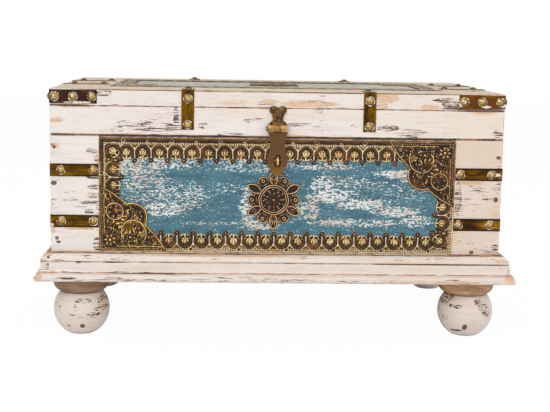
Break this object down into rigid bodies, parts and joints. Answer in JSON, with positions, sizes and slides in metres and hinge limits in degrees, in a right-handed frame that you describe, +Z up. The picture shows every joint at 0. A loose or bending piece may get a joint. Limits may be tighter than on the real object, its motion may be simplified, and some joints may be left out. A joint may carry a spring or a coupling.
{
  "type": "damchiya chest",
  "caption": "Low painted wooden trunk on a moulded plinth and ball feet, with a rear-hinged lid, brass straps and studs, embossed brass trim and a hasp over a staple.",
  "frame": {"origin": "on the floor under the middle of the box, which is the middle of the whole chest in plan but for the hasp's and the hinges' few millimetres inside the plinth's outline", "axes": "X to the right along the long side, seen from the front; Y from the front with the hasp to the back; Z up"},
  "size_m": [0.961, 0.611, 0.5047],
  "materials": {
    "cream_paint": "worn cream milk paint, with scratches and bare orange-tan wood along the edges",
    "blue_paint": "worn blue-green paint streaked with white along the grain",
    "bare_wood": "unpainted dusty wood",
    "strap_brass": "thin strap brass, dull, toned by old paint and grime",
    "stud_brass": "domed cast nails, olive-gold with bright tops",
    "embossed_brass": "embossed sheet brass, dark in the hollows and gold on the relief",
    "hinge_brass": "dull aged brass",
    "hanger_bronze": "dark aged brass with rubbed gold",
    "hasp_brass": "matte brown aged brass, turning gold towards the tip",
    "staple_brass": "rubbed gold brass"
  },
  "bodies": {
    "carcass": {"back_board": "cream_paint", "body_nails": "stud_brass", "body_straps_front_left": "strap_brass", "body_straps_front_right": "strap_brass", "body_straps_rear_left": "strap_brass", "body_straps_rear_right": "strap_brass", "body_studs": "stud_brass", "bottom_board": "bare_wood", "corner_plate_lower_left": "embossed_brass", "corner_plate_upper_right": "embossed_brass", "foot_blocks": "bare_wood", "foot_front_left": "cream_paint", "foot_front_right": "cream_paint", "foot_rear_left": "cream_paint", "foot_rear_right": "cream_paint", "front_panel": "blue_paint", "front_stile_left": "cream_paint", "front_stile_right": "cream_paint", "hinge_leaf_lower_left": "hinge_brass", "hinge_leaf_lower_right": "hinge_brass", "hinge_pins": "hinge_brass", "plinth_front": "cream_paint", "plinth_left": "cream_paint", "plinth_rear": "cream_paint", "plinth_right": "cream_paint", "rosette": "embossed_brass", "side_board_left": "cream_paint", "side_board_right": "cream_paint", "staple": "staple_brass", "trim_bottom": "embossed_brass", "trim_left": "embossed_brass", "trim_right": "embossed_brass", "trim_top": "embossed_brass"},
    "lid": {"hasp_hanger": "hanger_bronze", "hasp_pin": "hanger_bronze", "hinge_leaf_upper_left": "hinge_brass", "hinge_leaf_upper_right": "hinge_brass", "lid_corner_plates": "embossed_brass", "lid_corner_straps": "strap_brass", "lid_edge_straps": "strap_brass", "lid_end_straps": "strap_brass", "lid_frame_front": "cream_paint", "lid_frame_left": "cream_paint", "lid_frame_rear": "cream_paint", "lid_frame_right": "cream_paint", "lid_nails": "stud_brass", "lid_panel": "blue_paint", "lid_rosette": "embossed_brass", "lid_skirt_front": "cream_paint", "lid_skirt_left": "cream_paint", "lid_skirt_rear": "cream_paint", "lid_skirt_right": "cream_paint", "lid_studs": "stud_brass", "lid_trim_front": "embossed_brass", "lid_trim_left": "embossed_brass", "lid_trim_rear": "embossed_brass", "lid_trim_right": "embossed_brass"},
    "hasp": {"hasp_leaf": "hasp_brass"}
  },
  "joints": [
    {"name": "lid_hinge", "type": "hinge", "parent": "carcass", "child": "lid", "pos_m": [0, 0.2813, 0.40869], "axis": [-1, 0, 0], "range_deg": [0, 100]},
    {"name": "hasp_swing", "type": "hinge", "parent": "lid", "child": "hasp", "pos_m": [-0.002, -0.2833, 0.42544], "axis": [-1, 0, 0], "range_deg": [0, 165]}
  ]
}
